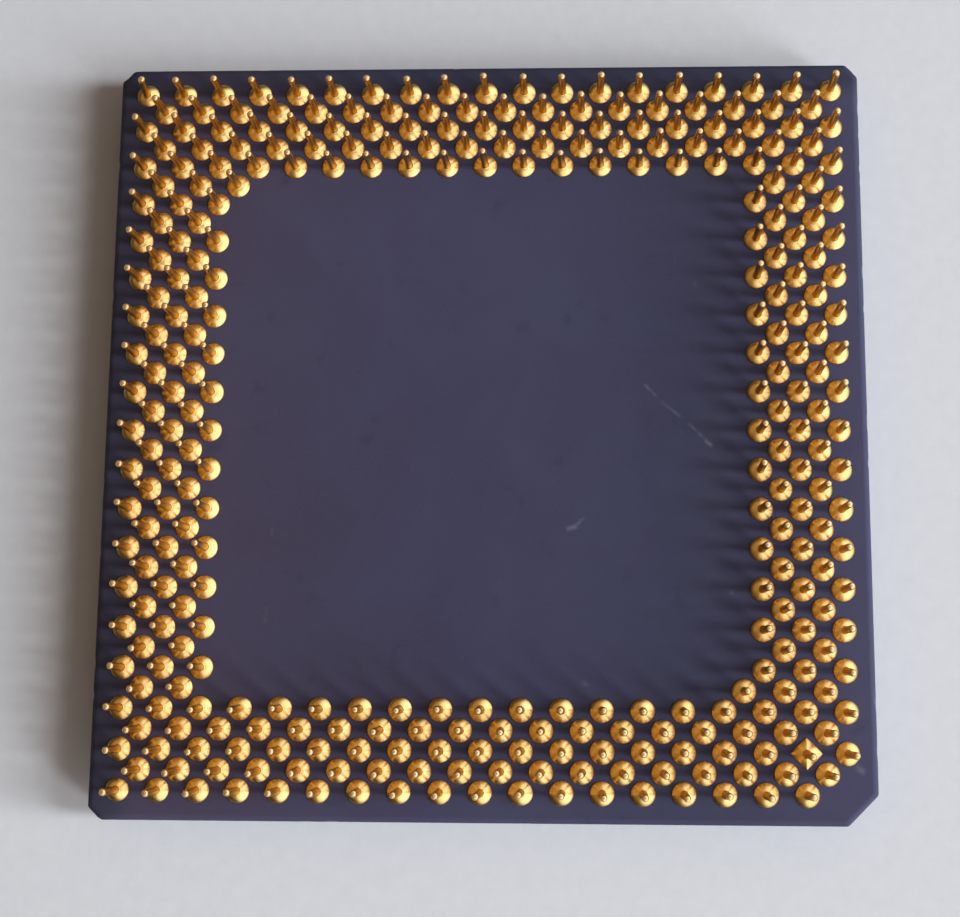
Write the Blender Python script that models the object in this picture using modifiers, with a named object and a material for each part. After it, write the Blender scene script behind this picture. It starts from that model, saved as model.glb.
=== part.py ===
"""Ceramic pin-grid-array processor, lying on its metal lid with the pins up.

Frame: +Z along the pins, origin at the bottom centre, on the lid's outer face.
The index corner, with the wide chamfer and the missing pin, is at +X, -Y.
Metres. The stack, from z = 0 upwards: lid, thermal compound, die, solder bumps,
die-side ceramic, ground plane, signal ceramic, power planes, pin-side ceramic,
pins. The adhesive, underfill, capacitors and index mark are on the die-side
ceramic's lower face.
"""

import math

import bmesh
import bpy
from mathutils import Matrix, Vector

MM = 0.001

# Ceramic body
BODY = 49.45 * MM  # side of the square
INDEX_CHAMFER = 1.9 * MM  # the index corner, along each side
CORNER_CHAMFER = 0.8 * MM  # the other three corners
CERAMIC_BOTTOM = 1.41 * MM  # die side of the body, above the lid's outer face
CERAMIC_TOP = 3.27 * MM  # seating plane, where the pins are brazed
LAYER_GAP = 0.02 * MM
PLANE_THICKNESS = 0.03 * MM
DIE_SIDE_LAYER = 0.54 * MM
SIGNAL_LAYER = 0.54 * MM
PLANE_MARGIN = 1.0 * MM  # planes stop short of the body's edge
EDGE_BEVEL = 0.10 * MM

# Pin grid: 37 x 37 places, staggered, five rows deep
GRID = 37
PITCH = 1.27 * MM
ROWS = 5
PIN_LENGTH = 3.18 * MM  # tip above the seating plane
PIN_RADIUS = 0.235 * MM
TIP_RADIUS = 0.17 * MM
FILLET_RADIUS = 0.76 * MM  # braze fillet at the pin's foot
FILLET_HEIGHT = 0.45 * MM
INDEX_PAD_RADIUS = 1.0 * MM  # half diagonal of the square pad at the index pin
PIN_SIDES = 6
SEAT_GAP = 0.02 * MM  # fillet above the ceramic
BAR_WIDTH = 0.40 * MM
BAR_DEPTH = 0.22 * MM  # bar's underside below the seating plane
BAR_RISE = 0.05 * MM
GROOVE_WIDTH = 0.46 * MM
GROOVE_DEPTH = 0.26 * MM

# Lid, stamped with a flange
LID_FLANGE = 32.0 * MM
LID_FLANGE_THICKNESS = 0.50 * MM
LID_TOP = 28.6 * MM
LID_PLATE = 0.55 * MM
LID_CAVITY = 27.2 * MM
LID_CORNER = 2.2 * MM
LID_TOP_CORNER = 1.8 * MM
ADHESIVE_THICKNESS = 0.05 * MM
ADHESIVE_INNER = 28.6 * MM
ADHESIVE_OUTER = 31.6 * MM

# Die and what is around it
DIE = 9.0 * MM
DIE_THICKNESS = 0.68 * MM
COMPOUND_THICKNESS = 0.06 * MM
BUMP_FIELD = 8.6 * MM
UNDERFILL_SPREAD = 0.75 * MM
UNDERFILL_HEIGHT = 0.40 * MM
CAP_LENGTH = 2.0 * MM
CAP_WIDTH = 1.25 * MM
CAP_HEIGHT = 0.62 * MM
CAP_RING = 8.6 * MM  # capacitor centre line from the middle of the die
CAP_PITCH = 6.0 * MM
INDEX_MARK_SIZE = 1.8 * MM
INDEX_MARK_INSET = 1.9 * MM
INDEX_MARK_THICKNESS = 0.03 * MM

for old in list(bpy.data.objects):
    bpy.data.objects.remove(old, do_unlink=True)
for mesh in list(bpy.data.meshes):
    bpy.data.meshes.remove(mesh)

scene = bpy.context.scene
parts = bpy.data.collections.new("ceramic_pin_grid_processor")
cutters = bpy.data.collections.new("cutters")
scene.collection.children.link(parts)
scene.collection.children.link(cutters)


def material(name, color, roughness, metallic):
    mat = bpy.data.materials.new(name)
    mat.use_nodes = True
    bsdf = mat.node_tree.nodes["Principled BSDF"]
    bsdf.inputs["Base Color"].default_value = (*color, 1.0)
    bsdf.inputs["Roughness"].default_value = roughness
    bsdf.inputs["Metallic"].default_value = metallic
    return mat


CERAMIC = material("dark_alumina", (0.052, 0.050, 0.078), 0.55, 0.0)
GOLD = material("gold_plate", (0.86, 0.55, 0.19), 0.28, 1.0)
NICKEL = material("nickel_plate", (0.62, 0.61, 0.58), 0.32, 1.0)
TUNGSTEN = material("tungsten_film", (0.33, 0.33, 0.34), 0.5, 1.0)
SILICON = material("silicon", (0.16, 0.17, 0.20), 0.15, 0.6)
SOLDER = material("solder", (0.55, 0.55, 0.57), 0.35, 1.0)
UNDERFILL = material("underfill_epoxy", (0.03, 0.03, 0.035), 0.35, 0.0)
COMPOUND = material("thermal_compound", (0.72, 0.72, 0.70), 0.8, 0.0)
ADHESIVE = material("lid_adhesive", (0.05, 0.05, 0.05), 0.6, 0.0)
CHIP = material("capacitor_ceramic", (0.42, 0.30, 0.20), 0.5, 0.0)


def add(name, mesh, mat, home=None):
    obj = bpy.data.objects.new(name, mesh)
    (home or parts).objects.link(obj)
    if mat is not None:
        mesh.materials.append(mat)
    return obj


def as_cutter(obj):
    obj.hide_render = True
    obj.display_type = "WIRE"
    return obj


def new_mesh(bm, name):
    bmesh.ops.recalc_face_normals(bm, faces=bm.faces[:])
    mesh = bpy.data.meshes.new(name)
    bm.to_mesh(mesh)
    bm.free()
    return mesh


def block(size, centre, corners=(0.0, 0.0, 0.0, 0.0), segments=1, edge=0.0, edge_faces=()):
    """A box from a cube primitive. corners are the widths cut from the vertical
    edges at (+X,+Y), (-X,+Y), (-X,-Y) and (+X,-Y). edge bevels the rims of the
    faces named in edge_faces, "top" or "bottom"."""
    bm = bmesh.new()
    bmesh.ops.create_cube(bm, size=1.0)
    bmesh.ops.scale(bm, vec=Vector(size), verts=bm.verts)
    signs = ((1, 1), (-1, 1), (-1, -1), (1, -1))
    for (sx, sy), width in zip(signs, corners):
        if width <= 0:
            continue
        upright = [
            e
            for e in bm.edges
            if all(
                abs(v.co.x - sx * size[0] / 2) < 1e-7 and abs(v.co.y - sy * size[1] / 2) < 1e-7
                for v in e.verts
            )
        ]
        bmesh.ops.bevel(
            bm, geom=upright, offset=width, segments=segments, affect="EDGES", profile=0.5
        )
    if edge > 0:
        rims = []
        for which in edge_faces:
            level = size[2] / 2 if which == "top" else -size[2] / 2
            rims += [
                e
                for e in bm.edges
                if all(abs(v.co.z - level) < 1e-7 for v in e.verts)
                and any(abs(f.normal.z) < 0.5 for f in e.link_faces)
            ]
        bmesh.ops.bevel(bm, geom=rims, offset=edge, segments=1, affect="EDGES")
    bmesh.ops.translate(bm, vec=Vector(centre), verts=bm.verts)
    return bm


def join_boolean(obj, other, operation):
    mod = obj.modifiers.new(operation.lower(), "BOOLEAN")
    mod.operation = operation
    mod.solver = "EXACT"
    mod.object = other
    return mod


def ring(name, outer, inner, low, high, outer_corner, inner_corner, mat, segments=4):
    """A flat square ring: a rounded block with a rounded block cut out of it."""
    height = high - low
    middle = (low + high) / 2
    body = add(
        name,
        new_mesh(block((outer, outer, height), (0, 0, middle), (outer_corner,) * 4, segments), name),
        mat,
    )
    cut = add(
        name + "_cutter",
        new_mesh(
            block((inner, inner, height * 3), (0, 0, middle), (inner_corner,) * 4, segments),
            name + "_cutter",
        ),
        None,
        cutters,
    )
    as_cutter(cut)
    join_boolean(body, cut, "DIFFERENCE")
    return body


# ---------------------------------------------------------------- ceramic body

BODY_CORNERS = (CORNER_CHAMFER, CORNER_CHAMFER, CORNER_CHAMFER, INDEX_CHAMFER)

z = CERAMIC_BOTTOM
die_side = (z, z + DIE_SIDE_LAYER)
z = die_side[1] + LAYER_GAP
ground = (z, z + PLANE_THICKNESS)
z = ground[1] + LAYER_GAP
signal = (z, z + SIGNAL_LAYER)
z = signal[1] + LAYER_GAP
power = (z, z + PLANE_THICKNESS)
z = power[1] + LAYER_GAP
pin_side = (z, CERAMIC_TOP)


def layer(name, span, edge_faces=()):
    size = (BODY, BODY, span[1] - span[0])
    bm = block(size, (0, 0, sum(span) / 2), BODY_CORNERS, 1, EDGE_BEVEL, edge_faces)
    return add(name, new_mesh(bm, name), CERAMIC)


layer("die_side_ceramic", die_side, ("bottom",))
layer("signal_ceramic", signal)
pin_ceramic = layer("pin_side_ceramic", pin_side, ("top",))

plane_side = BODY - 2 * PLANE_MARGIN
ground_corners = (CORNER_CHAMFER, CORNER_CHAMFER, CORNER_CHAMFER, INDEX_CHAMFER)
add(
    "ground_plane",
    new_mesh(
        block(
            (plane_side, plane_side, PLANE_THICKNESS), (0, 0, sum(ground) / 2), ground_corners
        ),
        "ground_plane",
    ),
    TUNGSTEN,
)
core_side = 27.0 * MM
add(
    "core_power_plane",
    new_mesh(
        block((core_side, core_side, PLANE_THICKNESS), (0, 0, sum(power) / 2), (1.0 * MM,) * 4),
        "core_power_plane",
    ),
    TUNGSTEN,
)
ring(
    "io_power_plane",
    plane_side,
    core_side + 1.0 * MM,
    power[0],
    power[1],
    INDEX_CHAMFER,
    1.4 * MM,
    TUNGSTEN,
    segments=1,
)

# ------------------------------------------------------------------------ pins


def place(i, j):
    """Centre of grid place (i, j): i counts along +X, j counts along -Y."""
    half = (GRID - 1) / 2
    return ((i - half) * PITCH, (half - j) * PITCH)


def pin_profile(foot_radius):
    """Half section of one pin with its braze fillet, from the tip down."""
    top = CERAMIC_TOP + PIN_LENGTH
    foot = CERAMIC_TOP + SEAT_GAP
    return [
        (0.0, top),
        (PIN_RADIUS, top),
        (PIN_RADIUS, foot + FILLET_HEIGHT),
        (foot_radius, foot),
        (0.0, foot),
    ]


def turned(name, profile, sides, home, mat, start_angle=0.0):
    mesh = bpy.data.meshes.new(name)
    points = [(r * math.cos(start_angle), r * math.sin(start_angle), h) for r, h in profile]
    mesh.from_pydata(points, [(k, k + 1) for k in range(len(points) - 1)], [])
    obj = add(name, mesh, mat, home)
    screw = obj.modifiers.new("turn", "SCREW")
    screw.axis = "Z"
    screw.angle = 2 * math.pi
    screw.steps = sides
    screw.render_steps = sides
    screw.use_merge_vertices = True
    screw.merge_threshold = 1e-6
    screw.use_smooth_shade = False
    return obj


def pin_line(name, first, last):
    """The pins from grid place first to last, every second place along one line,
    joined at their feet by a bar that lies in a groove in the ceramic."""
    (i0, j0), (i1, j1) = first, last
    along_x = j0 == j1
    count = (abs(i1 - i0) + abs(j1 - j0)) // 2 + 1
    start, end = place(i0, j0), place(i1, j1)
    centre = ((start[0] + end[0]) / 2, (start[1] + end[1]) / 2)
    length = abs(end[0] - start[0]) + abs(end[1] - start[1]) + BAR_WIDTH
    low, high = CERAMIC_TOP - BAR_DEPTH, CERAMIC_TOP + BAR_RISE

    def beam(long_side, width, bottom, top):
        size = (long_side, width) if along_x else (width, long_side)
        return block((*size, top - bottom), (*centre, (top + bottom) / 2))

    bar = add(name, new_mesh(beam(length, BAR_WIDTH, low, high), name), GOLD)
    pins = turned(
        name + "_pins",
        pin_profile(FILLET_RADIUS),
        PIN_SIDES,
        cutters,
        GOLD,
        math.radians(30 if along_x else 0),
    )
    pins.location = (*start, 0)
    array = pins.modifiers.new("repeat", "ARRAY")
    array.count = count
    array.use_relative_offset = False
    array.use_constant_offset = True
    step = 2 * PITCH
    array.constant_offset_displace = (step, 0, 0) if along_x else (0, -step, 0)
    as_cutter(pins)
    join_boolean(bar, pins, "UNION")

    extra = GROOVE_WIDTH - BAR_WIDTH
    groove = add(
        name + "_groove",
        new_mesh(
            beam(length + extra, GROOVE_WIDTH, CERAMIC_TOP - GROOVE_DEPTH, CERAMIC_TOP + 0.5 * MM),
            name + "_groove",
        ),
        None,
        cutters,
    )
    return as_cutter(groove)


last = GRID - 1
grooves = []
index_place = (last - 2, last - 2)
for row in range(ROWS):
    odd = row % 2
    near = 5 + (1 - odd)  # first place of a line that starts beside another block
    far = 30 + odd  # last place of a line that ends beside another block
    number = row + 1
    grooves.append(pin_line(f"pin_row_back_{number}", (odd, row), (far, row)))
    grooves.append(pin_line(f"pin_column_right_{number}", (last - row, odd), (last - row, far)))
    grooves.append(pin_line(f"pin_column_left_{number}", (row, near), (row, last - odd)))
    end = last - odd
    if row == 0:
        end -= 2  # no pin at the index corner
    if row == 2:
        end -= 4  # the index pin and the pin beyond it are single pins
    grooves.append(pin_line(f"pin_row_front_{number}", (near, last - row), (end, last - row)))

for name, where, foot, sides, turn in (
    ("corner_pin_back_left", (5, 5), FILLET_RADIUS, PIN_SIDES, 30),
    ("corner_pin_front_right", (last - 5, last - 5), FILLET_RADIUS, PIN_SIDES, 30),
    ("index_end_pin", (last, last - 2), FILLET_RADIUS, PIN_SIDES, 30),
    ("index_pin", index_place, INDEX_PAD_RADIUS, 4, 0),
):
    single = turned(name, pin_profile(foot), sides, parts, GOLD, math.radians(turn))
    single.location = (*place(*where), 0)

# All the grooves are one cutter: they cross nothing, so they stay separate blocks.
joined = bmesh.new()
for groove in grooves:
    joined.from_mesh(groove.data)
    bpy.data.objects.remove(groove, do_unlink=True)
cutter = as_cutter(add("groove_cutter", new_mesh(joined, "groove_cutter"), None, cutters))
join_boolean(pin_ceramic, cutter, "DIFFERENCE")

# ------------------------------------------------------------------------- lid

flange_high = CERAMIC_BOTTOM - ADHESIVE_THICKNESS - LAYER_GAP
flange_low = flange_high - LID_FLANGE_THICKNESS
lid = add(
    "lid",
    new_mesh(
        block(
            (LID_FLANGE, LID_FLANGE, LID_FLANGE_THICKNESS),
            (0, 0, (flange_low + flange_high) / 2),
            (LID_CORNER,) * 4,
            4,
            0.08 * MM,
            ("bottom",),
        ),
        "lid",
    ),
    NICKEL,
)
raised_high = flange_high - 0.1 * MM
raised = add(
    "lid_raised_block",
    new_mesh(
        block(
            (LID_TOP, LID_TOP, raised_high),
            (0, 0, raised_high / 2),
            (LID_TOP_CORNER,) * 4,
            4,
            0.25 * MM,
            ("bottom",),
        ),
        "lid_raised_block",
    ),
    None,
    cutters,
)
as_cutter(raised)
join_boolean(lid, raised, "UNION")
cavity = add(
    "lid_cavity",
    new_mesh(
        block(
            (LID_CAVITY, LID_CAVITY, 2 * MM),
            (0, 0, LID_PLATE + 1 * MM),
            (1.2 * MM,) * 4,
            4,
        ),
        "lid_cavity",
    ),
    None,
    cutters,
)
as_cutter(cavity)
join_boolean(lid, cavity, "DIFFERENCE")

ring(
    "lid_adhesive",
    ADHESIVE_OUTER,
    ADHESIVE_INNER,
    flange_high + LAYER_GAP / 2,
    CERAMIC_BOTTOM - LAYER_GAP / 2,
    2.0 * MM,
    1.2 * MM,
    ADHESIVE,
)

# ---------------------------------------------------- die and what surrounds it

compound = (LID_PLATE + LAYER_GAP, LID_PLATE + LAYER_GAP + COMPOUND_THICKNESS)
add(
    "thermal_compound",
    new_mesh(
        block(
            (DIE + 0.4 * MM, DIE + 0.4 * MM, COMPOUND_THICKNESS),
            (0, 0, sum(compound) / 2),
            (0.6 * MM,) * 4,
            3,
        ),
        "thermal_compound",
    ),
    COMPOUND,
)
die = (compound[1] + LAYER_GAP, compound[1] + LAYER_GAP + DIE_THICKNESS)
add(
    "silicon_die",
    new_mesh(block((DIE, DIE, DIE_THICKNESS), (0, 0, sum(die) / 2)), "silicon_die"),
    SILICON,
)
bumps = (die[1] + LAYER_GAP / 2, CERAMIC_BOTTOM - LAYER_GAP / 2)
add(
    "solder_bump_field",
    new_mesh(
        block((BUMP_FIELD, BUMP_FIELD, bumps[1] - bumps[0]), (0, 0, sum(bumps) / 2)),
        "solder_bump_field",
    ),
    SOLDER,
)

# The underfill climbs the die's sides: a low frustum with the die's place cut out.
foot = DIE / 2 + UNDERFILL_SPREAD
head = DIE / 2 + 0.12 * MM
bm = bmesh.new()
bmesh.ops.create_cone(
    bm,
    cap_ends=True,
    segments=4,
    radius1=head * math.sqrt(2),
    radius2=foot * math.sqrt(2),
    depth=UNDERFILL_HEIGHT,
)
bmesh.ops.rotate(bm, matrix=Matrix.Rotation(math.radians(45), 3, "Z"), verts=bm.verts)
bmesh.ops.translate(
    bm,
    vec=(0, 0, CERAMIC_BOTTOM - LAYER_GAP / 2 - UNDERFILL_HEIGHT / 2),
    verts=bm.verts,
)
underfill = add("underfill", new_mesh(bm, "underfill"), UNDERFILL)
hole = DIE + 2 * 0.03 * MM
cut = as_cutter(
    add(
        "underfill_cutter",
        new_mesh(block((hole, hole, 3 * MM), (0, 0, CERAMIC_BOTTOM)), "underfill_cutter"),
        None,
        cutters,
    )
)
join_boolean(underfill, cut, "DIFFERENCE")

cap_high = CERAMIC_BOTTOM - LAYER_GAP
cap_mesh = new_mesh(
    block(
        (CAP_LENGTH, CAP_WIDTH, CAP_HEIGHT),
        (0, 0, 0),
        (0.06 * MM,) * 4,
        1,
    ),
    "chip_capacitor",
)
cap_mesh.materials.append(CHIP)
number = 0
for quarter in range(4):
    turn = quarter * math.pi / 2
    for side in (-1, 1):
        number += 1
        x = side * CAP_PITCH / 2
        y = CAP_RING
        cap = bpy.data.objects.new(f"chip_capacitor_{number}", cap_mesh)
        parts.objects.link(cap)
        cap.location = (
            x * math.cos(turn) - y * math.sin(turn),
            x * math.sin(turn) + y * math.cos(turn),
            cap_high - CAP_HEIGHT / 2,
        )
        cap.rotation_euler = (0, 0, turn)

# Gold triangle on the die side, with its right angle at the index corner: a square
# block with the opposite corner cut away.
leg = INDEX_MARK_SIZE
mark_at = BODY / 2 - INDEX_MARK_INSET - leg / 2
add(
    "index_mark",
    new_mesh(
        block(
            (leg, leg, INDEX_MARK_THICKNESS),
            (mark_at, -mark_at, CERAMIC_BOTTOM - LAYER_GAP / 2 - INDEX_MARK_THICKNESS / 2),
            (0, leg * 0.96, 0, 0),
        ),
        "index_mark",
    ),
    GOLD,
)
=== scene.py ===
"""Looks for the ceramic pin-grid processor: fine pins, fired ceramic, plated lid,
and what lies under the lid. Metres, in the CAD model's own frame."""

import math
import random

import bmesh
import bpy
import numpy as np
from mathutils import Matrix, Vector, noise


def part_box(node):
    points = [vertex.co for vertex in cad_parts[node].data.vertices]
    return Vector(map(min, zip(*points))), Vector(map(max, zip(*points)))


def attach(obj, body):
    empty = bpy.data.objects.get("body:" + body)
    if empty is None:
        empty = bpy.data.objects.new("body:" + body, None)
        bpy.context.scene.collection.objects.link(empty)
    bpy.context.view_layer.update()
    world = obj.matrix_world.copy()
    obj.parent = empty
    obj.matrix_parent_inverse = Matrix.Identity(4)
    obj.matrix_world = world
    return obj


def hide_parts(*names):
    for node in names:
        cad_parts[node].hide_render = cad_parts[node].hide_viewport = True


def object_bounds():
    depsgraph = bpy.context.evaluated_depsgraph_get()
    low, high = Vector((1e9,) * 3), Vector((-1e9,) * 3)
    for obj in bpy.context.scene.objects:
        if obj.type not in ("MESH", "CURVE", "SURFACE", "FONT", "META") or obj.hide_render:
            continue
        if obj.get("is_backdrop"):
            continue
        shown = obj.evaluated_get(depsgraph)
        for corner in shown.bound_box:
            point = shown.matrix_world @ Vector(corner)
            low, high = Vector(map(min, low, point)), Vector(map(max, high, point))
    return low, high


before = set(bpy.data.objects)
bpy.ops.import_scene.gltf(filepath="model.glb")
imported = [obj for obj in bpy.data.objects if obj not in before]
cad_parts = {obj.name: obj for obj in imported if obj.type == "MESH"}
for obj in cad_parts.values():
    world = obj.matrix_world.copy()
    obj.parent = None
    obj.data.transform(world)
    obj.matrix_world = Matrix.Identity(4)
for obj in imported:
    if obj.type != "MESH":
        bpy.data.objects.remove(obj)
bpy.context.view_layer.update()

MM = 0.001
scene = bpy.context.scene
home = bpy.data.collections.new("fine_pieces")
scene.collection.children.link(home)

BODY = 49.45  # mm, all lengths below in mm until a mesh is made
HALF = BODY / 2
INDEX_CHAMFER = 1.9
CORNER_CHAMFER = 0.8
CERAMIC_BOTTOM = 1.41
CERAMIC_TOP = 3.27
GRID, PITCH = 37, 1.27
PIN_LENGTH = 3.18

# ------------------------------------------------------------------ mesh helpers


def make(name, verts, faces, mats, smooth=True, angle=None, face_mats=None):
    mesh = bpy.data.meshes.new(name)
    mesh.from_pydata([tuple(v) for v in (np.asarray(verts) * MM)], [], faces)
    mesh.validate()
    for mat in mats if isinstance(mats, (list, tuple)) else [mats]:
        mesh.materials.append(mat)
    if face_mats is not None:
        mesh.polygons.foreach_set("material_index", face_mats)
    if smooth:
        mesh.shade_smooth()
        if angle is not None:
            mesh.set_sharp_from_angle(angle=math.radians(angle))
    mesh.update()
    obj = bpy.data.objects.new(name, mesh)
    home.objects.link(obj)
    return obj


def place_piece(obj, nodes):
    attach(obj, "root")
    if nodes:
        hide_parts(*nodes)
    return obj


def loft(loops, close_first=True, close_last=True):
    """Closed surface through loops of equal count, the first one lowest in order.
    Returns verts and faces, outward if the loops run counter-clockwise upwards."""
    n = len(loops[0])
    verts = np.concatenate([np.asarray(l) for l in loops])
    faces = []
    for k in range(len(loops) - 1):
        a, b = k * n, (k + 1) * n
        for i in range(n):
            j = (i + 1) % n
            faces.append((a + i, a + j, b + j, b + i))
    if close_first:
        faces.append(tuple(range(n - 1, -1, -1)))
    if close_last:
        base = (len(loops) - 1) * n
        faces.append(tuple(base + i for i in range(n)))
    return verts, faces


def chamfered_outline(inset, half, chamfers, step=0.35, radius=0.16, arc=4):
    """Counter-clockwise outline of a chamfered square with softly rounded vertices.
    The count of points is the same at every inset."""
    corners = []
    for (sx, sy), c in zip(((1, -1), (1, 1), (-1, 1), (-1, -1)), chamfers):
        h = half - inset
        c = max(c - inset * (2 - math.sqrt(2)), 0.05)
        if (sx, sy) == (1, -1):
            corners += [(h - c, -h), (h, -h + c)]
        elif (sx, sy) == (1, 1):
            corners += [(h, h - c), (h - c, h)]
        elif (sx, sy) == (-1, 1):
            corners += [(-h + c, h), (-h, h - c)]
        else:
            corners += [(-h, -h + c), (-h + c, -h)]
    corners = [np.array(c, float) for c in corners]
    m = len(corners)
    r = max(radius - inset * 0.4, 0.03)
    points = []
    for k in range(m):
        p, before, after = corners[k], corners[k - 1], corners[(k + 1) % m]
        u = before - p
        v = after - p
        lu, lv = np.linalg.norm(u), np.linalg.norm(v)
        u, v = u / lu, v / lv
        turn = math.acos(np.clip(-(u @ v), -1, 1))
        cut = min(r * math.tan(turn / 2) * 2.2, 0.3 * min(lu, lv))
        a, b = p + u * cut, p + v * cut
        for t in np.linspace(0, 1, arc):
            points.append((1 - t) ** 2 * a + 2 * t * (1 - t) * p + t * t * b)
        # the straight run to the next corner, with a fixed number of points
        q = after
        nxt = corners[(k + 2) % m]
        w = p - q
        lw = np.linalg.norm(w)
        w2 = nxt - q
        lw2 = np.linalg.norm(w2)
        turn2 = math.acos(np.clip(-((w / lw) @ (w2 / lw2)), -1, 1))
        cut2 = min(r * math.tan(turn2 / 2) * 2.2, 0.3 * min(lw, lw2))
        start, end = b, q + w / lw * cut2
        long_run = lw > half
        count = int(2 * half / step) if long_run else 5
        for t in np.linspace(0, 1, count + 2)[1:-1]:
            points.append(start + (end - start) * t)
    return np.array(points)


def rounded_square(half, radius, arc=10, run=6):
    """Counter-clockwise rounded square with a fixed number of points."""
    points = []
    for k, (sx, sy) in enumerate(((1, -1), (1, 1), (-1, 1), (-1, -1))):
        cx, cy = sx * (half - radius), sy * (half - radius)
        start = -math.pi / 2 + k * math.pi / 2
        arcs = [
            (cx + radius * math.cos(start + t), cy + radius * math.sin(start + t))
            for t in np.linspace(0, math.pi / 2, arc)
        ]
        points += arcs
        ex, ey = arcs[-1]
        nsx, nsy = ((1, 1), (-1, 1), (-1, -1), (1, -1))[k]
        nx, ny = nsx * (half - radius), nsy * (half - radius)
        nstart = start + math.pi / 2
        fx, fy = nx + radius * math.cos(nstart), ny + radius * math.sin(nstart)
        for t in np.linspace(0, 1, run + 2)[1:-1]:
            points.append((ex + (fx - ex) * t, ey + (fy - ey) * t))
    return np.array(points)


def at(outline, z):
    return np.c_[outline, np.full(len(outline), z)]


# ------------------------------------------------------------- material helpers


class Graph:
    def __init__(self, name):
        self.mat = bpy.data.materials.new(name)
        self.mat.use_nodes = True
        self.tree = self.mat.node_tree
        self.nodes, self.links = self.tree.nodes, self.tree.links
        self.bsdf = self.nodes["Principled BSDF"]
        self.coord = self.nodes.new("ShaderNodeTexCoord").outputs["Object"]

    def set(self, **values):
        for key, value in values.items():
            self.bsdf.inputs[key.replace("_", " ")].default_value = value
        return self

    def link(self, a, b):
        self.links.new(a, b)
        return b

    def noise(self, scale, detail=4.0, roughness=0.55, distortion=0.0, vector=None, dims="3D"):
        n = self.nodes.new("ShaderNodeTexNoise")
        n.noise_dimensions = dims
        n.inputs["Scale"].default_value = scale
        n.inputs["Detail"].default_value = detail
        n.inputs["Roughness"].default_value = roughness
        n.inputs["Distortion"].default_value = distortion
        self.link(vector or self.coord, n.inputs["Vector"])
        return n.outputs["Fac"]

    def scaled(self, x, y, z, shift=(0, 0, 0), vector=None):
        n = self.nodes.new("ShaderNodeMapping")
        n.inputs["Scale"].default_value = (x, y, z)
        n.inputs["Location"].default_value = shift
        self.link(vector or self.coord, n.inputs["Vector"])
        return n.outputs["Vector"]

    def voronoi(self, scale, feature="F1", vector=None, randomness=1.0):
        n = self.nodes.new("ShaderNodeTexVoronoi")
        n.feature = feature
        n.inputs["Scale"].default_value = scale
        n.inputs["Randomness"].default_value = randomness
        self.link(vector or self.coord, n.inputs["Vector"])
        return n.outputs["Distance"]

    def ramp(self, fac, stops, interpolation="LINEAR"):
        n = self.nodes.new("ShaderNodeValToRGB")
        n.color_ramp.interpolation = interpolation
        elements = n.color_ramp.elements
        while len(elements) < len(stops):
            elements.new(0.5)
        for e, (pos, col) in zip(elements, stops):
            e.position = pos
            e.color = (*col, 1.0) if len(col) == 3 else col
        self.link(fac, n.inputs["Fac"])
        return n.outputs["Color"]

    def value_ramp(self, fac, stops):
        return self.ramp(fac, [(p, (v, v, v)) for p, v in stops])

    def mix(self, fac, a, b, mode="MIX"):
        n = self.nodes.new("ShaderNodeMix")
        n.data_type = "RGBA"
        n.blend_type = mode
        n.clamp_factor = True
        for value, socket in ((fac, n.inputs[0]), (a, n.inputs[6]), (b, n.inputs[7])):
            if isinstance(value, (int, float)):
                socket.default_value = value
            elif isinstance(value, tuple):
                socket.default_value = (*value, 1.0)
            else:
                self.link(value, socket)
        return n.outputs[2]

    def math(self, op, a, b=None, clamp=False):
        n = self.nodes.new("ShaderNodeMath")
        n.operation = op
        n.use_clamp = clamp
        for value, socket in ((a, n.inputs[0]), (b, n.inputs[1])):
            if value is None:
                continue
            if isinstance(value, (int, float)):
                socket.default_value = value
            else:
                self.link(value, socket)
        return n.outputs[0]

    def bump(self, height, strength, distance, before=None):
        n = self.nodes.new("ShaderNodeBump")
        n.inputs["Strength"].default_value = strength
        n.inputs["Distance"].default_value = distance
        self.link(height, n.inputs["Height"])
        if before is not None:
            self.link(before, n.inputs["Normal"])
        return n.outputs["Normal"]

    def xyz(self):
        n = self.nodes.new("ShaderNodeSeparateXYZ")
        self.link(self.coord, n.inputs[0])
        return n.outputs[0], n.outputs[1], n.outputs[2]


# -------------------------------------------------------------------- materials


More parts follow.
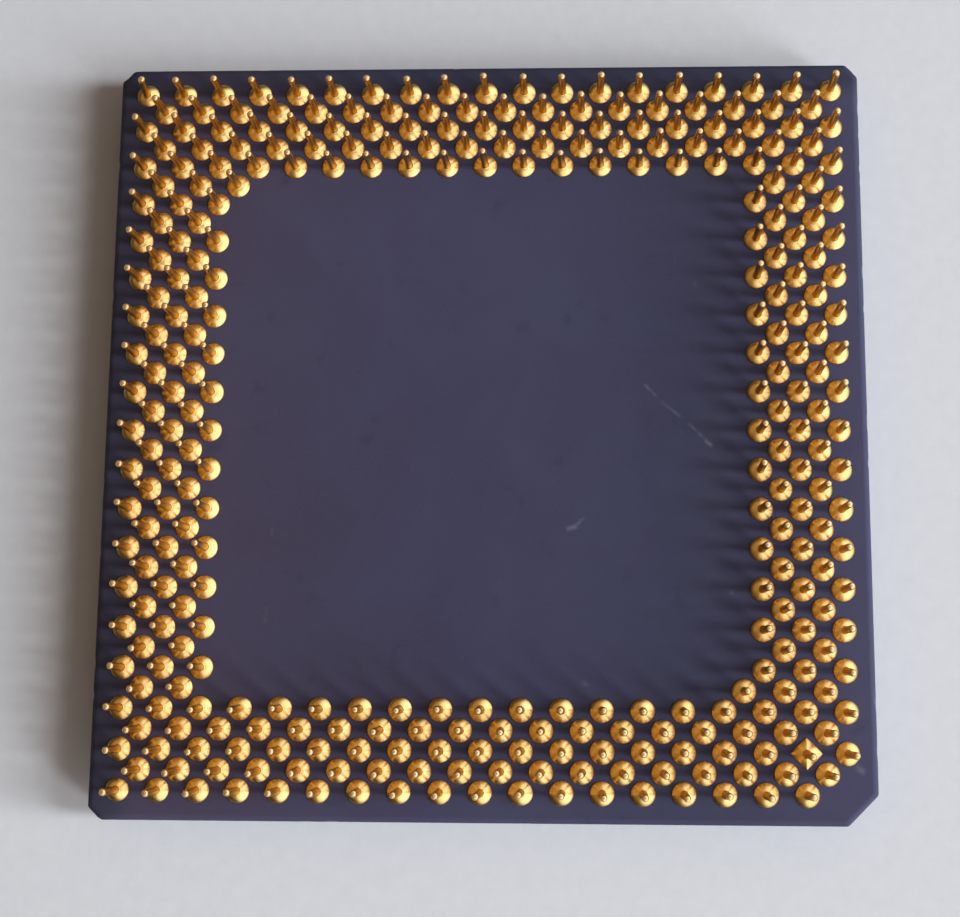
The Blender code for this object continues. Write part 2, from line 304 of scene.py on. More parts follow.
def ceramic_material():
    g = Graph("dark_alumina")
    g.set(Metallic=0.0)
    g.bsdf.inputs["Specular IOR Level"].default_value = 0.22
    x, y, z = g.xyz()
    # slow mottling from firing, and a fine grain
    slow = g.noise(110.0, 3.0, 0.6, 0.6)
    tint = g.ramp(
        slow,
        [
            (0.25, (0.054, 0.0515, 0.099)),
            (0.5, (0.060, 0.0580, 0.113)),
            (0.75, (0.064, 0.0665, 0.122)),
        ],
    )
    grain = g.noise(9000.0, 2.0, 0.6)
    tint = g.mix(
        g.value_ramp(grain, [(0.35, 0.0), (0.65, 0.35)]), tint, (0.074, 0.0735, 0.126)
    )
    # painted light: the left part of the body is painted warmer, standing in for gold light bounced off the left
    # pins, and a band just inside the right pin block is painted darker, standing in for the shade those pins
    # cast
    side = g.math("ADD", x, g.math("MULTIPLY", g.math("SUBTRACT", slow, 0.5), 0.012))
    side = g.math("DIVIDE", g.math("ADD", side, HALF * MM), BODY * MM, clamp=True)
    painted_bounce_and_shade = g.ramp(
        side,
        [
            (0.10, (1.16, 1.02, 0.93)),
            (0.42, (1.00, 0.99, 1.00)),
            (0.60, (0.95, 0.97, 0.98)),
            (0.76, (0.83, 0.88, 0.87)),
            (0.86, (0.86, 0.88, 0.87)),
            (0.97, (1.00, 1.00, 0.98)),
        ],
    )
    tint = g.mix(1.0, tint, painted_bounce_and_shade, "MULTIPLY")
    # painted shade: the pin side is darkened along its back and left margins, standing in for the shade cast
    # there by the back and left pin blocks
    top = g.math("GREATER_THAN", z, (CERAMIC_TOP - 0.4) * MM)
    back = g.ramp(
        g.math("DIVIDE", g.math("ADD", y, HALF * MM), BODY * MM, clamp=True),
        [(0.955, (1.0, 1.0, 1.0)), (0.975, (0.62, 0.66, 0.66))],
    )
    left = g.ramp(
        g.math("DIVIDE", g.math("ADD", x, HALF * MM), BODY * MM, clamp=True),
        [(0.0, (0.55, 0.64, 0.66)), (0.03, (0.64, 0.72, 0.72)), (0.06, (1.0, 1.0, 1.0))],
    )
    tint = g.mix(top, tint, g.mix(1.0, tint, g.mix(1.0, back, left, "MULTIPLY"), "MULTIPLY"))
    # sparse dark smudges
    smudge = g.noise(520.0, 2.0, 0.5, 0.3, g.scaled(1, 1, 1, (0.31, 0.17, 0.0)))
    tint = g.mix(g.value_ramp(smudge, [(0.64, 0.0), (0.76, 0.34)]), tint, (0.038, 0.036, 0.058))

    def streak(x0, y0, x1, y1, width, gain, breakup):
        """Mask of a thin mark from (x0, y0) to (x1, y1), in mm on the pin side."""
        dx, dy = x1 - x0, y1 - y0
        length = math.hypot(dx, dy)
        ux, uy = dx / length, dy / length
        px = g.math("SUBTRACT", x, x0 * MM)
        py = g.math("SUBTRACT", y, y0 * MM)
        along = g.math("ADD", g.math("MULTIPLY", px, ux), g.math("MULTIPLY", py, uy))
        across = g.math(
            "ABSOLUTE", g.math("ADD", g.math("MULTIPLY", px, -uy), g.math("MULTIPLY", py, ux))
        )
        side = g.math("SUBTRACT", 1.0, g.math("DIVIDE", across, width * MM), clamp=True)
        middle = g.math("ABSOLUTE", g.math("SUBTRACT", along, length * MM / 2))
        ends = g.math(
            "DIVIDE", g.math("SUBTRACT", length * MM / 2, middle), 0.25 * MM, clamp=True
        )
        mask = g.math("MULTIPLY", side, ends)
        worn = g.value_ramp(g.noise(breakup, 2.0, 0.6), [(0.35, 0.25), (0.6, 1.0)])
        return g.math("MULTIPLY", g.math("MULTIPLY", mask, worn), gain, clamp=True)

    marks = None
    for m in (
        # the long scratch, broken into dashes
        (10.35, 3.10, 11.25, 2.18, 0.15, 0.42, 2300.0),
        (11.40, 1.98, 12.85, 0.83, 0.16, 0.30, 2000.0),
        (13.15, 0.55, 14.75, -1.00, 0.17, 0.34, 2200.0),
        (14.20, -0.52, 14.80, -1.08, 0.19, 0.62, 3000.0),
        (12.60, 0.12, 12.90, -0.28, 0.20, 0.20, 2600.0),
        # a nick with a short tail
        (5.30, -6.42, 6.20, -6.12, 0.24, 0.60, 2600.0),
        (5.95, -6.20, 6.60, -5.55, 0.17, 0.34, 2600.0),
        # small rubs
        (-13.50, -6.15, -13.60, -7.00, 0.18, 0.14, 2600.0),
        (-13.70, -11.2, -13.85, -12.5, 0.20, 0.17, 2600.0),
        (-15.85, 8.1, -15.45, 7.8, 0.16, 0.16, 2600.0),
        (12.40, 11.6, 12.60, 11.0, 0.14, 0.16, 2600.0),
        (13.70, 9.95, 13.85, 9.45, 0.20, 0.16, 2600.0),
        (12.55, -10.4, 12.85, -10.5, 0.20, 0.16, 2600.0),
        (15.60, -10.35, 16.1, -10.45, 0.20, 0.30, 2600.0),
        (2.9, -9.95, 3.25, -9.80, 0.16, 0.16, 2600.0),
        (1.0, -9.85, 1.35, -9.70, 0.14, 0.14, 2600.0),
        (6.30, -16.05, 6.95, -16.2, 0.24, 0.22, 2600.0),
        (-1.35, -14.5, -1.05, -14.5, 0.14, 0.26, 2600.0),
        # a chipped, rubbed place near the index corner
        (23.25, -20.95, 23.95, -21.55, 0.30, 0.42, 1500.0),
    ):
        s = streak(*m)
        marks = s if marks is None else g.math("MAXIMUM", marks, s)
    up = g.math("GREATER_THAN", z, (CERAMIC_TOP - 0.4) * MM)
    marks = g.math("MULTIPLY", marks, up)
    tint = g.mix(marks, tint, (0.200, 0.225, 0.270))
    g.link(tint, g.bsdf.inputs["Base Color"])
    rough = g.value_ramp(slow, [(0.3, 0.40), (0.7, 0.47)])
    rough = g.mix(marks, rough, (0.6, 0.6, 0.6))
    g.link(rough, g.bsdf.inputs["Roughness"])
    normal = g.bump(g.noise(420.0, 3.0, 0.55), 0.10, 0.0002)
    normal = g.bump(grain, 0.22, 0.00002, normal)
    g.link(normal, g.bsdf.inputs["Normal"])
    return g.mat


def gold_material():
    g = Graph("gold_plate")
    g.set(Metallic=1.0)
    x, y, z = g.xyz()
    height = g.math("DIVIDE", g.math("SUBTRACT", z, CERAMIC_TOP * MM), PIN_LENGTH * MM, clamp=True)
    patch = g.noise(700.0, 3.0, 0.6, 0.4)
    base = g.ramp(
        patch,
        [
            (0.3, (0.93, 0.60, 0.185)),
            (0.55, (0.98, 0.66, 0.215)),
            (0.75, (1.00, 0.70, 0.250)),
        ],
    )
    # thin, worn plating towards the tip, paler
    wear = g.math(
        "MULTIPLY",
        g.value_ramp(height, [(0.93, 0.0), (0.985, 0.8), (1.0, 1.0)]),
        g.value_ramp(g.noise(5200.0, 2.0, 0.6), [(0.3, 0.35), (0.65, 1.0)]),
    )
    base = g.mix(wear, base, (0.95, 0.71, 0.35))
    g.link(base, g.bsdf.inputs["Base Color"])
    rough = g.value_ramp(patch, [(0.3, 0.33), (0.7, 0.28)])
    rough = g.mix(wear, rough, (0.44, 0.44, 0.44))
    g.link(rough, g.bsdf.inputs["Roughness"])
    return g.mat


def nickel_material():
    g = Graph("nickel_plate")
    g.set(Metallic=1.0)
    brushed = g.noise(1.0, 3.0, 0.7, 0.0, g.scaled(240.0, 9000.0, 900.0))
    stain = g.noise(180.0, 4.0, 0.6, 0.8)
    base = g.ramp(stain, [(0.3, (0.50, 0.49, 0.465)), (0.7, (0.66, 0.65, 0.62))])
    g.link(base, g.bsdf.inputs["Base Color"])
    rough = g.math(
        "ADD",
        g.value_ramp(stain, [(0.3, 0.36), (0.7, 0.27)]),
        g.math("MULTIPLY", g.math("SUBTRACT", brushed, 0.5), 0.16),
        clamp=True,
    )
    g.link(rough, g.bsdf.inputs["Roughness"])
    g.link(g.bump(brushed, 0.25, 0.00001), g.bsdf.inputs["Normal"])
    return g.mat


def simple(name, low, high, rough_low, rough_high, metallic, scale, bump=0.15, depth=0.00002):
    g = Graph(name)
    g.set(Metallic=metallic)
    n = g.noise(scale, 4.0, 0.6, 0.3)
    g.link(g.ramp(n, [(0.3, low), (0.7, high)]), g.bsdf.inputs["Base Color"])
    g.link(g.value_ramp(n, [(0.3, rough_low), (0.7, rough_high)]), g.bsdf.inputs["Roughness"])
    g.link(g.bump(g.noise(scale * 4, 3.0, 0.6), bump, depth), g.bsdf.inputs["Normal"])
    return g.mat


CERAMIC = ceramic_material()
GOLD = gold_material()
NICKEL = nickel_material()
TUNGSTEN = simple("tungsten_film", (0.25, 0.25, 0.26), (0.38, 0.38, 0.39), 0.45, 0.6, 1.0, 900)
SILICON = simple("silicon", (0.13, 0.14, 0.17), (0.19, 0.20, 0.24), 0.10, 0.16, 0.7, 300, 0.03)
SOLDER = simple("solder", (0.45, 0.45, 0.46), (0.62, 0.62, 0.64), 0.25, 0.4, 1.0, 4000)
UNDERFILL = simple(
    "underfill_epoxy", (0.020, 0.020, 0.024), (0.035, 0.034, 0.038), 0.25, 0.35, 0.0, 900
)
COMPOUND = simple("thermal_compound", (0.60, 0.60, 0.58), (0.74, 0.74, 0.72), 0.7, 0.85, 0.0, 1400, 0.5, 0.00006)
ADHESIVE = simple("lid_adhesive", (0.030, 0.030, 0.031), (0.055, 0.054, 0.053), 0.5, 0.7, 0.0, 1500, 0.4, 0.00005)
CHIP = simple("capacitor_ceramic", (0.34, 0.23, 0.145), (0.44, 0.31, 0.20), 0.35, 0.5, 0.0, 1500)
TERMINAL = simple("capacitor_terminal", (0.60, 0.60, 0.60), (0.74, 0.74, 0.73), 0.3, 0.42, 1.0, 3000)

# ---------------------------------------------------------------- ceramic layers

CHAMFERS = (INDEX_CHAMFER, CORNER_CHAMFER, CORNER_CHAMFER, CORNER_CHAMFER)


def rim_chips(rng, count):
    """Places round the rim where the fired edge has a small nick: angle along the
    outline from 0 to 1, half width in mm, depth in mm."""
    return [
        (rng.random(), rng.uniform(0.12, 0.45), rng.uniform(0.02, 0.07)) for _ in range(count)
    ]


def ceramic_layer(name, node, low, high, top_edge, bottom_edge, seed):
    """A layer of the body. top_edge and bottom_edge are lists of (inset, drop) from
    the flat face out to the side wall."""
    rng = random.Random(seed)
    chips = rim_chips(rng, 26)
    loops = []

    def ring(inset, z, rough, nick):
        outline = chamfered_outline(inset, HALF, CHAMFERS)
        n = len(outline)
        nxt = np.roll(outline, -1, 0) - np.roll(outline, 1, 0)
        normal = np.c_[nxt[:, 1], -nxt[:, 0]]
        normal /= np.linalg.norm(normal, axis=1)[:, None]
        run = np.r_[0, np.cumsum(np.linalg.norm(np.diff(outline, axis=0), axis=1))]
        total = run[-1]
        inward = np.array(
            [
                rough
                * (
                    0.6 * noise.noise(Vector((p[0] * 0.9, p[1] * 0.9, z * 2 + seed)))
                    + 0.4 * noise.noise(Vector((p[0] * 3.1, p[1] * 3.1, z * 5 + seed)))
                )
                for p in outline
            ]
        )
        inward = np.abs(inward) * 0.8
        for where, width, depth in chips:
            d = np.abs(run - where * total)
            d = np.minimum(d, total - d)
            inward += nick * depth * np.clip(1 - (d / width) ** 2, 0, 1)
        return at(outline - normal * inward[:, None], z)

    for inset, rise in bottom_edge:
        loops.append(ring(inset, low + rise, 0.012 if inset < 0.2 else 0.0, 1.0 if inset < 0.1 else 0.0))
    steps = 3
    z0, z1 = low + bottom_edge[-1][1], high - top_edge[-1][1]
    for k in range(1, steps):
        loops.append(ring(0.0, z0 + (z1 - z0) * k / steps, 0.012, 0.0))
    for inset, drop in reversed(top_edge):
        loops.append(
            ring(inset, high - drop, 0.014 if inset < 0.2 else 0.0, 1.0 if inset < 0.12 else 0.0)
        )
    verts, faces = loft(loops)
    obj = make(name, verts, faces, CERAMIC, True, 35)
    place_piece(obj, [node])
    return obj


layer_low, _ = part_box("pin_side_ceramic")
signal_low, signal_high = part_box("signal_ceramic")
die_low, die_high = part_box("die_side_ceramic")
plain = [(0.05, 0.0), (0.015, 0.012), (0.0, 0.04)]
worn = [(0.42, 0.0), (0.34, 0.006), (0.24, 0.028), (0.13, 0.065), (0.06, 0.11), (0.02, 0.16), (0.0, 0.23)]
soft = [(0.22, 0.0), (0.14, 0.01), (0.07, 0.035), (0.02, 0.08), (0.0, 0.14)]
ceramic_layer("pin_side_ceramic_fired", "pin_side_ceramic", layer_low[2] / MM, CERAMIC_TOP, worn, plain, 1)
ceramic_layer(
    "signal_ceramic_fired", "signal_ceramic", signal_low[2] / MM, signal_high[2] / MM, plain, plain, 2
)
ceramic_layer(
    "die_side_ceramic_fired", "die_side_ceramic", CERAMIC_BOTTOM, die_high[2] / MM, plain, soft, 3
)

# -------------------------------------------------------------------------- pins

PIN_PROFILE = [  # radius, height above the ceramic, share of the fillet's own shape
    (0.735, 0.001, 1.0),
    (0.762, 0.008, 1.0),
    (0.770, 0.024, 1.0),
    (0.764, 0.046, 1.0),
    (0.742, 0.071, 1.0),
    (0.705, 0.102, 1.0),
    (0.650, 0.143, 1.0),
    (0.580, 0.188, 1.0),
    (0.500, 0.231, 1.0),
    (0.420, 0.266, 1.0),
    (0.345, 0.292, 0.95),
    (0.292, 0.308, 0.8),
    (0.264, 0.319, 0.5),
    (0.249, 0.334, 0.3),
    (0.240, 0.360, 0.15),
    (0.236, 0.410, 0.05),
    (0.234, 0.600, 0.0),
    (0.234, 2.500, 0.0),
    (0.233, 2.930, 0.0),
    (0.226, 3.030, 0.0),
    (0.207, 3.095, 0.0),
    (0.175, 3.140, 0.0),
    (0.130, 3.167, 0.0),
    (0.070, 3.180, 0.0),
]
SIDES = 26


def grid_place(i, j):
    return ((i - 18) * PITCH, (18 - j) * PITCH)


def pin_mesh(i, j, rng, square=False):
    x0, y0 = grid_place(i, j)
    sides = 48 if square else SIDES
    theta = np.linspace(0, 2 * math.pi, sides, endpoint=False)
    a2, a3 = rng.uniform(0, 0.014), rng.uniform(0, 0.008)
    p2, p3 = rng.uniform(0, 6.28), rng.uniform(0, 6.28)
    size = rng.gauss(1.0, 0.012)
    tall = min(max(rng.gauss(1.0, 0.04), 0.92), 1.08)
    off = rng.uniform(0, 0.030), rng.uniform(0, 6.28)
    off = np.array([off[0] * math.cos(off[1]), off[0] * math.sin(off[1])])
    lean = np.array([rng.gauss(0, 0.045), rng.gauss(0, 0.045)])
    lean = LEANS.get((i, j), lean)
    dents = [rng.uniform(0, 6.28) for _ in range(3)]
    rings = []
    for r, h, share in PIN_PROFILE:
        radius = r * np.ones(sides)
        if share:
            wobble = a2 * np.cos(2 * theta - p2) + a3 * np.cos(3 * theta - p3)
            wobble += 0.003 * np.cos(5 * theta - dents[0]) * math.sin(h * 9 + dents[1])
            radius = radius * (1 + share * (wobble + size - 1))
            if square:
                p = 1.0 + 1.0 * (1 - share) + 0.05
                diamond = (np.abs(np.cos(theta)) ** p + np.abs(np.sin(theta)) ** p) ** (-1 / p)
                reach = 1.0 + 0.30 * share * max(0.0, 1 - h / 0.62)
                k = share * max(0.0, 1 - h / 0.75)
                radius = radius * reach * ((1 - k) + k * diamond)
        z = h * (1 + share * (tall - 1)) if h < 0.9 else h
        centre = np.array([x0, y0]) + off * (1 - share) * 1.0
        reach_up = max(0.0, h - 0.35) / (PIN_LENGTH - 0.35)
        centre = centre + lean * (0.8 * reach_up + 0.2 * reach_up**2)
        rings.append(
            np.c_[
                centre[0] + radius * np.cos(theta),
                centre[1] + radius * np.sin(theta),
                np.full(sides, CERAMIC_TOP + z),
            ]
        )
    return loft(rings)


# pins that have been bent noticeably: lean of the tip in mm along X and Y
LEANS = {
    (0, 0): (0.34, 0.05),
    (0, 36): (-0.05, 0.02),
}
LEANS = {k: np.array(v) for k, v in LEANS.items()}


def pin_piece(node, places, seed):
    rng = random.Random(seed)
    verts, faces, count = [], [], 0
    for i, j in places:
        v, f = pin_mesh(i, j, rng, (i, j) == (34, 34))
        verts.append(v)
        faces += [tuple(count + k for k in face) for face in f]
        count += len(v)
    obj = make(node + "_fine", np.concatenate(verts), faces, GOLD, True)
    place_piece(obj, [node])
    return obj


total_pins = 0
for row in range(5):
    odd = row % 2
    near, far = 5 + (1 - odd), 30 + odd
    lines = {
        f"pin_row_back_{row + 1}": [(i, row) for i in range(odd, far + 1, 2)],
        f"pin_column_right_{row + 1}": [(36 - row, j) for j in range(odd, far + 1, 2)],
        f"pin_column_left_{row + 1}": [(row, j) for j in range(near, 37 - odd, 2)],
        f"pin_row_front_{row + 1}": [
            (i, 36 - row)
            for i in range(near, 37 - odd, 2)
            if (i, 36 - row) not in ((36, 36), (34, 34), (36, 34))
        ],
    }
    for k, (node, places) in enumerate(lines.items()):
        pin_piece(node, places, 100 + row * 10 + k)
        total_pins += len(places)
for k, (node, where) in enumerate(
    {
        "corner_pin_back_left": (5, 5),
        "corner_pin_front_right": (31, 31),
        "index_end_pin": (36, 34),
        "index_pin": (34, 34),
    }.items()
):
    pin_piece(node, [where], 200 + k)
    total_pins += 1
assert total_pins == 321, total_pins

# --------------------------------------------------------------------------- lid

FLANGE_TOP = 1.34
lid_loops = []
for half, radius, z in (
    (13.35, 0.9, 0.0),
    (13.98, 1.50, 0.0),
    (14.06, 1.56, 0.012),
    (14.16, 1.65, 0.05),
    (14.24, 1.73, 0.13),
    (14.285, 1.78, 0.24),
    (14.30, 1.80, 0.36),
    (14.30, 1.80, 0.70),
    (14.33, 1.82, 0.79),
    (14.42, 1.86, 0.835),
    (14.54, 1.90, 0.842),
    (15.78, 2.05, 0.842),
    (15.90, 2.13, 0.856),
    (15.97, 2.18, 0.90),
    (16.00, 2.20, 0.98),
    (16.00, 2.20, 1.22),
    (15.97, 2.18, 1.30),
    (15.88, 2.12, 1.335),
    (15.70, 2.05, 1.34),
    (13.75, 1.30, 1.34),
    (13.64, 1.24, 1.32),
    (13.60, 1.20, 1.26),
    (13.60, 1.20, 0.62),
    (13.55, 1.16, 0.57),
    (13.45, 1.10, 0.55),
):
    lid_loops.append(at(rounded_square(half, radius), z))
verts, faces = loft(lid_loops)
place_piece(make("lid_stamped", verts, faces, NICKEL, True, 40), ["lid"])

# adhesive bead with a soft outer edge
bead = []
for half, radius, z in (
    (14.38, 1.26, 1.352),
    (15.72, 2.00, 1.352),
    (15.80, 2.06, 1.365),
    (15.82, 2.08, 1.376),
    (15.79, 2.05, 1.390),
    (15.70, 2.00, 1.399),
    (14.40, 1.26, 1.399),
    (14.33, 1.22, 1.388),
    (14.31, 1.20, 1.376),
    (14.33, 1.22, 1.362),
):
    loop = at(rounded_square(half, radius, 8, 20), z)
    wave = np.array([noise.noise(Vector((p[0] * 0.5, p[1] * 0.5, 3.7))) for p in loop])
    loop[:, :2] *= (1 + wave * 0.004)[:, None]
    bead.append(loop)
verts = np.concatenate(bead)
n, m = len(bead[0]), len(bead)
faces = []
for k in range(m):
    a, b = k * n, ((k + 1) % m) * n
    for i in range(n):
        j = (i + 1) % n
        faces.append((a + i, a + j, b + j, b + i))
place_piece(
    make("lid_adhesive_bead", verts, faces, ADHESIVE, True, 50), ["lid_adhesive"]
)

# ------------------------------------------------------------- under the lid


def chip_cap(name, node):
    low, high = (np.array(c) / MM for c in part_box(node))
    centre = (low + high) / 2
    size = high - low
    along = 0 if size[0] > size[1] else 1
    bm = bmesh.new()

    def slab(length, width, height, shift, edge, slot):
        dims = [width, width, height]
        dims[along] = length
        dims[1 - along] = width
        made = bmesh.ops.create_cube(bm, size=1.0)["verts"]
        bmesh.ops.scale(bm, vec=Vector(dims), verts=made)
        move = [0.0, 0.0, 0.0]
        move[along] = shift
        bmesh.ops.translate(bm, vec=Vector(move), verts=made)
        edges = list({e for v in made for e in v.link_edges})
        out = bmesh.ops.bevel(bm, geom=edges, offset=edge, segments=3, affect="EDGES", profile=0.5)
        for f in set(out["faces"]) | {f for v in made if v.is_valid for f in v.link_faces}:
            f.material_index = slot

    length, width, height = size[along], size[1 - along], size[2]
    slab(length - 0.5, width - 0.05, height - 0.05, 0.0, 0.04, 0)
    for side in (-1, 1):
        slab(0.46, width - 0.002, height - 0.002, side * (length / 2 - 0.231), 0.07, 1)
    for face in bm.faces:
        # the terminal's faces lie beyond the brown middle
        c = face.calc_center_median()[along]
        face.material_index = 1 if abs(c) > length / 2 - 0.47 else 0
    bmesh.ops.translate(bm, vec=Vector(centre), verts=bm.verts)
    bmesh.ops.scale(bm, vec=Vector((MM,) * 3), verts=bm.verts)
    mesh = bpy.data.meshes.new(name)
    bm.to_mesh(mesh)
    bm.free()
    mesh.materials.append(CHIP)
    mesh.materials.append(TERMINAL)
    mesh.shade_smooth()
    mesh.set_sharp_from_angle(angle=math.radians(50))
    obj = bpy.data.objects.new(name, mesh)
    home.objects.link(obj)
    place_piece(obj, [node])


for k in range(1, 9):
    chip_cap(f"chip_capacitor_{k}_fine", f"chip_capacitor_{k}")

# solder bumps: a grid of squat balls between the die and the ceramic
low, high = (np.array(c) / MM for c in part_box("solder_bump_field"))
bump_verts, bump_faces, count = [], [], 0
gap = high[2] - low[2]
per_side = 26
for a in range(per_side):
    for b in range(per_side):
        cx = low[0] + (a + 0.5) * (high[0] - low[0]) / per_side
        cy = low[1] + (b + 0.5) * (high[1] - low[1]) / per_side
        t = np.linspace(0, 2 * math.pi, 8, endpoint=False)
        rings = [
            np.c_[cx + r * np.cos(t), cy + r * np.sin(t), np.full(8, low[2] + h * gap)]
            for r, h in ((0.045, 0.0), (0.066, 0.25), (0.073, 0.5), (0.066, 0.75), (0.045, 1.0))
        ]
        v, f = loft(rings)
        bump_verts.append(v)
        bump_faces += [tuple(count + k for k in face) for face in f]
        count += len(v)
place_piece(
    make("solder_bumps_fine", np.concatenate(bump_verts), bump_faces, SOLDER, True, 60),
    ["solder_bump_field"],
)

# underfill: a smooth meniscus round the die's foot
low, high = (np.array(c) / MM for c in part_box("underfill"))
foot = (high[0] - low[0]) / 2
fill = []
inner = 4.53
for half, radius, z in (
    (inner, 0.05, high[2]),
    (foot - 0.02, 0.55, high[2]),
    (foot, 0.57, high[2] - 0.012),
    (foot - 0.10, 0.52, high[2] - 0.055),
    (foot - 0.24, 0.45, high[2] - 0.115),
    (foot - 0.39, 0.36, high[2] - 0.19),
    (foot - 0.52, 0.28, high[2] - 0.275),
    (foot - 0.61, 0.22, high[2] - 0.345),
    (foot - 0.66, 0.17, high[2] - 0.39),
    (inner + 0.02, 0.06, high[2] - 0.398),
    (inner, 0.05, high[2] - 0.39),
):
    fill.append(at(rounded_square(half, radius, 8, 12), z))
fill = [l[::-1] for l in fill]
verts = np.concatenate(fill)
n, m = len(fill[0]), len(fill)
faces = []
for k in range(m):
    a, b = k * n, ((k + 1) % m) * n
    for i in range(n):
        j = (i + 1) % n
        faces.append((a + i, a + j, b + j, b + i))
place_piece(make("underfill_fillet", verts, faces, UNDERFILL, True, 50), ["underfill"])

# thermal compound: pressed out a little unevenly round the die
low, high = (np.array(c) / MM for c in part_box("thermal_compound"))
paste = []
for inset, z in ((0.03, low[2]), (0.0, (low[2] + high[2]) / 2), (0.03, high[2])):
    loop = at(rounded_square(4.62 - inset, 0.9, 10, 16), z)
    wave = np.array([noise.noise(Vector((p[0] * 0.9, p[1] * 0.9, 9.1))) for p in loop])
    loop[:, :2] *= (1 + wave * 0.012)[:, None]
    paste.append(loop)
verts, faces = loft(paste)
place_piece(
    make("thermal_compound_pressed", verts, faces, COMPOUND, True, 50), ["thermal_compound"]
)

# CAD nodes that stay, with their own materials
for node, mat in {
    "ground_plane": TUNGSTEN,
    "core_power_plane": TUNGSTEN,
    "io_power_plane": TUNGSTEN,
    "silicon_die": SILICON,
    "index_mark": GOLD,
}.items():
    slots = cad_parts[node].material_slots
    for s in slots:
        s.material = mat

# ----------------------------------------------------------------- floor, lights


def paper_material():
    g = Graph("paper")
    g.set(Metallic=0.0, Roughness=0.9)
    g.bsdf.inputs["Specular IOR Level"].default_value = 0.2
    fibre = g.noise(900.0, 4.0, 0.6)
    g.link(
        g.ramp(fibre, [(0.3, (0.775, 0.790, 0.842)), (0.7, (0.81, 0.822, 0.872))]),
        g.bsdf.inputs["Base Color"],
    )
    g.link(g.bump(g.noise(1400.0, 4.0, 0.6), 0.25, 0.00005), g.bsdf.inputs["Normal"])
    return g.mat


bm = bmesh.new()
bmesh.ops.create_grid(bm, x_segments=8, y_segments=8, size=0.7)
bmesh.ops.translate(bm, vec=Vector((0, 0, -0.00001)), verts=bm.verts)
mesh = bpy.data.meshes.new("floor")
bm.to_mesh(mesh)
bm.free()
mesh.materials.append(paper_material())
floor = bpy.data.objects.new("floor", mesh)
scene.collection.objects.link(floor)
floor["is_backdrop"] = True


def area_light(name, where, target, size_x, size_y, power, color):
    data = bpy.data.lights.new(name, "AREA")
    data.shape = "RECTANGLE"
    data.size, data.size_y = size_x, size_y
    data.energy = power
    data.color = color
    obj = bpy.data.objects.new(name, data)
    obj.location = where
    direction = Vector(target) - Vector(where)
    obj.rotation_euler = direction.to_track_quat("-Z", "Y").to_euler()
    scene.collection.objects.link(obj)
    return obj


# two tall soft panes, to the right and to the right of the front, and a low one in front
for name, degrees, width, middle, height, power in (
    ("pane_right", -5, 0.22, 0.53, 1.00, 15.0),
    ("pane_front", -37, 0.24, 0.53, 1.00, 8.1),
    ("low_front", -80, 0.70, 0.22, 0.40, 0.9),
):
    azimuth = math.radians(degrees)
    reach = 0.95
    pane = area_light(
        name,
        (reach * math.cos(azimuth), reach * math.sin(azimuth), middle),
        (0, 0, middle),
        width,
        height,
        power,
        (0.91, 0.97, 1.0),
    )
    pane.visible_glossy = False

world = bpy.data.worlds.new("room")
scene.world = world
world.use_nodes = True
wt = world.node_tree
background = wt.nodes["Background"]


def world_dot(x, y, z):
    n = wt.nodes.new("ShaderNodeVectorMath")
    n.operation = "DOT_PRODUCT"
    wt.links.new(sky_vector, n.inputs[0])
    n.inputs[1].default_value = (x, y, z)
    return n.outputs["Value"]


def world_ramp(fac, stops, low=-1.0, high=1.0):
    m = wt.nodes.new("ShaderNodeMapRange")
    m.inputs["From Min"].default_value = low
    m.inputs["From Max"].default_value = high
    wt.links.new(fac, m.inputs["Value"])
    n = wt.nodes.new("ShaderNodeValToRGB")
    n.color_ramp.interpolation = "EASE"
    e = n.color_ramp.elements
    while len(e) < len(stops):
        e.new(0.5)
    for k, (pos, col) in zip(e, stops):
        k.position = (pos - low) / (high - low)
        k.color = (*col, 1.0)
    wt.links.new(m.outputs["Result"], n.inputs["Fac"])
    return n.outputs["Color"]


def world_mix(mode, a, b):
    n = wt.nodes.new("ShaderNodeMix")
    n.data_type = "RGBA"
    n.blend_type = mode
    n.inputs[0].default_value = 1.0
    wt.links.new(a, n.inputs[6])
    wt.links.new(b, n.inputs[7])
    return n.outputs[2]


sky_vector = wt.nodes.new("ShaderNodeTexCoord").outputs["Generated"]
up = world_dot(0, 0, 1)
room = world_ramp(
    up,
    [
        (-0.10, (0.020, 0.018, 0.020)),
        (0.42, (0.030, 0.024, 0.022)),
        (0.62, (0.500, 0.340, 0.190)),
        (0.84, (0.340, 0.235, 0.145)),
        (0.975, (0.310, 0.205, 0.105)),
    ],
)
glow = world_ramp(
    world_dot(0.80, -0.12, 0.58),
    [
        (0.21, (0.0, 0.0, 0.0)),
        (0.36, (0.50, 0.54, 0.66)),
        (0.53, (1.22, 1.30, 1.75)),
        (0.85, (1.55, 1.65, 2.25)),
    ],
)
# it is dark straight above, and dimmer towards the horizon
glow = world_mix(
    "MULTIPLY",
    glow,
    world_ramp(
        up,
        [
            (0.02, (0.08, 0.08, 0.08)),
            (0.34, (1.0, 1.0, 1.0)),
            (0.86, (1.0, 1.0, 1.0)),
            (0.965, (0.05, 0.05, 0.05)),
        ],
    ),
)
# a dark figure stands at the front left
figure = world_dot(-0.62, -0.56, 0.55)
glow = world_mix("MULTIPLY", glow, world_ramp(figure, [(0.83, (1.0, 1.0, 1.0)), (0.90, (0.0, 0.0, 0.0))]))
room = world_mix("MULTIPLY", room, world_ramp(figure, [(0.84, (1.0, 1.0, 1.0)), (0.92, (0.55, 0.50, 0.40))]))
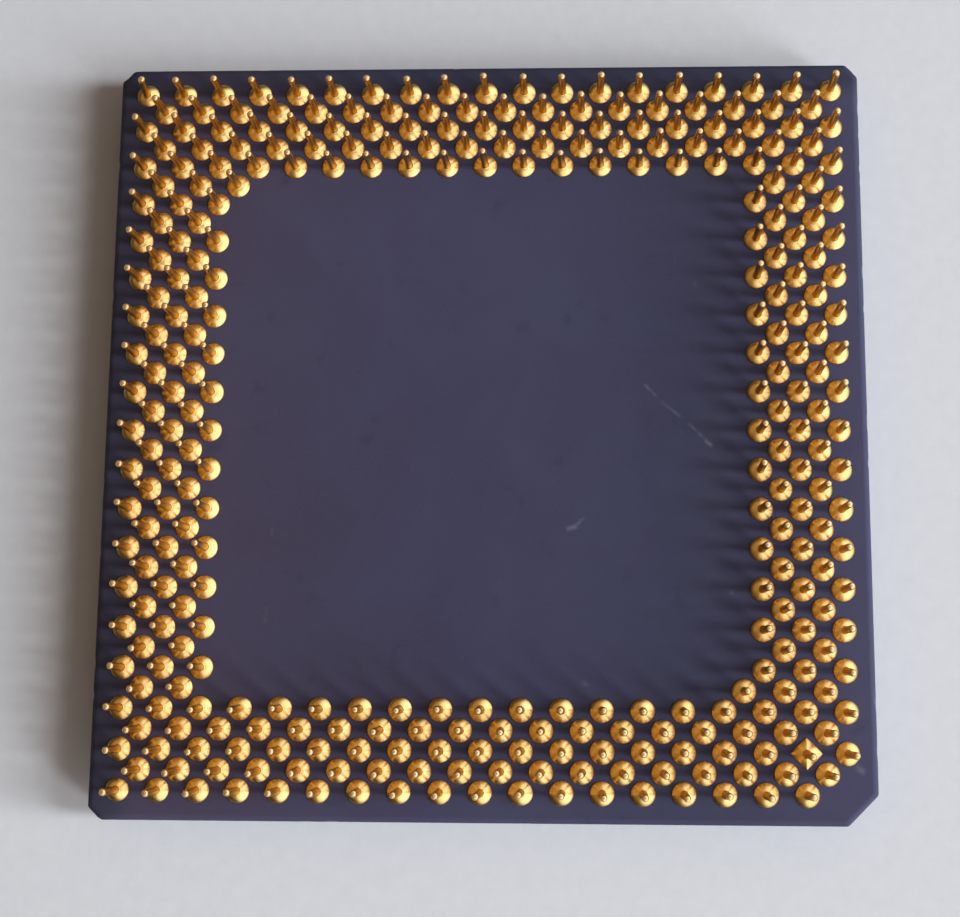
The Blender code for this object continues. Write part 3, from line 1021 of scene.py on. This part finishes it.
# the gold sees all of the glow; elsewhere most of its light comes from the panes
path = wt.nodes.new("ShaderNodeLightPath")
share = wt.nodes.new("ShaderNodeMapRange")
share.inputs["To Min"].default_value = 0.05
share.inputs["To Max"].default_value = 1.0
after = wt.nodes.new("ShaderNodeMath")
after.operation = "MULTIPLY_ADD"
after.inputs[1].default_value = 3.0
after.inputs[2].default_value = 1.0
wt.links.new(path.outputs["Diffuse Depth"], after.inputs[0])
seen = wt.nodes.new("ShaderNodeMath")
seen.operation = "DIVIDE"
wt.links.new(path.outputs["Is Glossy Ray"], seen.inputs[0])
wt.links.new(after.outputs[0], seen.inputs[1])
wt.links.new(seen.outputs[0], share.inputs["Value"])
dim = world_mix("MULTIPLY", room, world_ramp(path.outputs["Is Diffuse Ray"], [(0.0, (1.0, 1.0, 1.0)), (1.0, (0.46, 0.48, 0.52))], 0.0, 1.0))
total = world_mix("ADD", dim, glow)
wt.links.new(share.outputs["Result"], total.node.inputs[0])
# light that has already gone from one pin to another fades sooner
fade = world_ramp(path.outputs["Glossy Depth"], [(1.0, (0.0, 0.0, 0.0)), (2.0, (1.0, 1.0, 1.0))], 1.0, 2.0)
white = wt.nodes.new("ShaderNodeRGB").outputs[0]
white.default_value = (1.0, 1.0, 1.0, 1.0)
second = world_ramp(up, [(0.30, (0.92, 0.84, 0.60)), (0.62, (0.62, 0.50, 0.25))])
keep = world_mix("MIX", white, second)
wt.links.new(fade, keep.node.inputs[0])
fade = keep
total = world_mix("MULTIPLY", total, fade)
wt.links.new(total, background.inputs["Color"])
background.inputs["Strength"].default_value = 1.0

scene.view_settings.view_transform = "Standard"
scene.view_settings.look = "None"
scene.view_settings.exposure = 0.0
scene.view_settings.gamma = 1.0

# ------------------------------------------------------------------------ camera

# looking down from 0.106 m above the pin side, leaning slightly towards the front
right = Vector((0.9992, 0.00623, -0.03946))
down = Vector((-0.0006, -0.9853, -0.17081))
forward = right.cross(down).normalized()
down = forward.cross(right).normalized()
right.normalize()
cam_data = bpy.data.cameras.new("camera")
cam_data.sensor_fit = "HORIZONTAL"
cam_data.sensor_width = 36.0
cam_data.lens = 1654.0 * 36.0 / 960.0
cam_data.shift_x = (480.0 - 513.0) / 960.0
cam_data.shift_y = (403.0 - 458.5) / 960.0
cam_data.clip_start = 0.005
cam_data.clip_end = 10.0
cam_data.dof.use_dof = False
camera = bpy.data.objects.new("camera", cam_data)
matrix = Matrix.Identity(4)
for k in range(3):
    matrix[k][0] = right[k]
    matrix[k][1] = -down[k]
    matrix[k][2] = -forward[k]
    matrix[k][3] = (0.0062, -0.0165, 0.1056 + CERAMIC_TOP * MM)[k]
camera.matrix_world = matrix
scene.collection.objects.link(camera)
scene.camera = camera

low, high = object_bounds()
